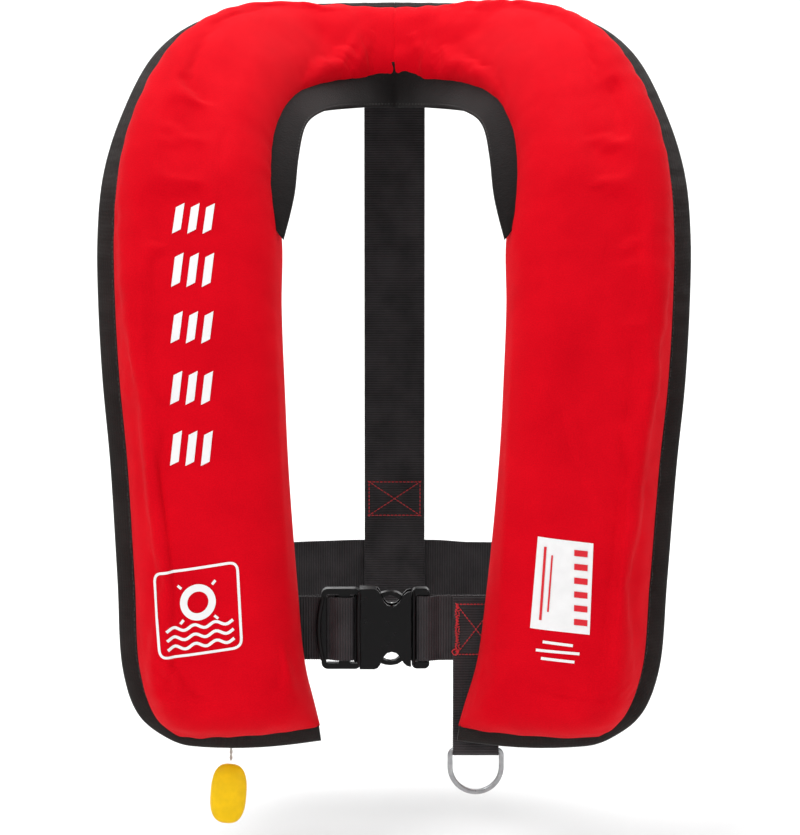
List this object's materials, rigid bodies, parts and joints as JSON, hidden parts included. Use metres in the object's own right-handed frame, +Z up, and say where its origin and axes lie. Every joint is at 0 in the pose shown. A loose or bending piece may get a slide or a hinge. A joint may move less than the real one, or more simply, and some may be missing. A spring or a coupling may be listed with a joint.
{
  "type": "inflatable life jacket",
  "caption": "Horseshoe inflatable life jacket: soft cover over folded bladders, waist belt with side-release buckle, back strap, harness ring and pull toggle.",
  "frame": {"origin": "the wearer's nape: the point under the middle of the collar, from which the jacket hangs when worn", "axes": "+Z up along the wearer's spine, -Y the way the wearer faces, +X towards the wearer's left"},
  "size_m": [0.3644, 0.2768, 0.499],
  "materials": {
    "red_cloth": "tight plain-weave polyester with a faint sheen",
    "black_cloth": "woven edge tape and backing cloth",
    "lining": "matt brushed knit over foam",
    "webbing": "ribbed polyester webbing with a soft sheen",
    "bladder": "coated yellow nylon",
    "black_plastic": "moulded acetal, gloss",
    "yellow_plastic": "moulded, smooth",
    "red_plastic": "moulded, smooth",
    "steel": "satin stainless steel",
    "thread": "bonded red thread",
    "cord": "thin braided cord"
  },
  "bodies": {
    "jacket": {"cover_right": "red_cloth", "cover_left": "red_cloth", "binding_right": "black_cloth", "binding_left": "black_cloth", "back_panel_right": "black_cloth", "back_panel_left": "black_cloth", "neck_lining": "lining", "lobe_bladder_right": "bladder", "lobe_bladder_left": "bladder", "collar_bladder_right": "bladder", "collar_bladder_left": "bladder", "inflator_body": "yellow_plastic", "mouth_tube": "black_plastic", "whistle": "yellow_plastic", "waist_belt": "webbing", "back_strap": "webbing", "ring_webbing": "webbing", "belt_keeper_right": "webbing", "belt_keeper_left": "webbing", "strap_stitch": "thread", "ring_stitch": "thread", "buckle_plug": "black_plastic"},
    "belt_end": {"buckle_socket": "black_plastic", "adjuster_webbing": "webbing"},
    "ring": {"harness_ring": "steel"},
    "cord": {"pull_cord": "cord"},
    "toggle": {"pull_toggle": "yellow_plastic"},
    "lever": {"inflator_lever": "black_plastic"},
    "pin": {"firing_pin": "steel"},
    "cylinder": {"gas_cylinder": "steel"},
    "tube_cap": {"mouth_tube_cap": "red_plastic"}
  },
  "joints": [
    {"name": "buckle_release", "type": "slide", "parent": "jacket", "child": "belt_end", "axis": [-1, 0, 0], "range_m": [0, 0.042]},
    {"name": "ring_swing", "type": "hinge", "parent": "jacket", "child": "ring", "pos_m": [0.05, -0.1992, -0.3895], "axis": [1, 0, 0], "range_deg": [-75, 75]},
    {"name": "toggle_pull", "type": "slide", "parent": "jacket", "child": "cord", "axis": [0, 0, -1], "range_m": [0, 0.02]},
    {"name": "toggle_swing", "type": "hinge", "parent": "cord", "child": "toggle", "pos_m": [-0.0998, -0.2059, -0.3957], "axis": [0, 1, 0], "range_deg": [-40, 40]},
    {"name": "lever_turn", "type": "hinge", "parent": "jacket", "child": "lever", "pos_m": [-0.121, -0.21, -0.331], "axis": [0, 1, 0], "range_deg": [0, 60]},
    {"name": "pin_stroke", "type": "slide", "parent": "jacket", "child": "pin", "axis": [0, 0.035, 0.9994], "range_m": [0, 0.0016]},
    {"name": "cylinder_turn", "type": "hinge", "parent": "jacket", "child": "cylinder", "pos_m": [-0.128, -0.2215, -0.312], "axis": [0, 0.035, 0.9994], "continuous": true},
    {"name": "cap_pull", "type": "slide", "parent": "jacket", "child": "tube_cap", "axis": [0, 0.0699, 0.9976], "range_m": [0, 0.014]}
  ],
  "couplings": [
    {"joint": "toggle_pull", "follows": "lever_turn", "m_per_rad": 0.019},
    {"joint": "pin_stroke", "follows": "lever_turn", "m_per_rad": 0.0015}
  ]
}
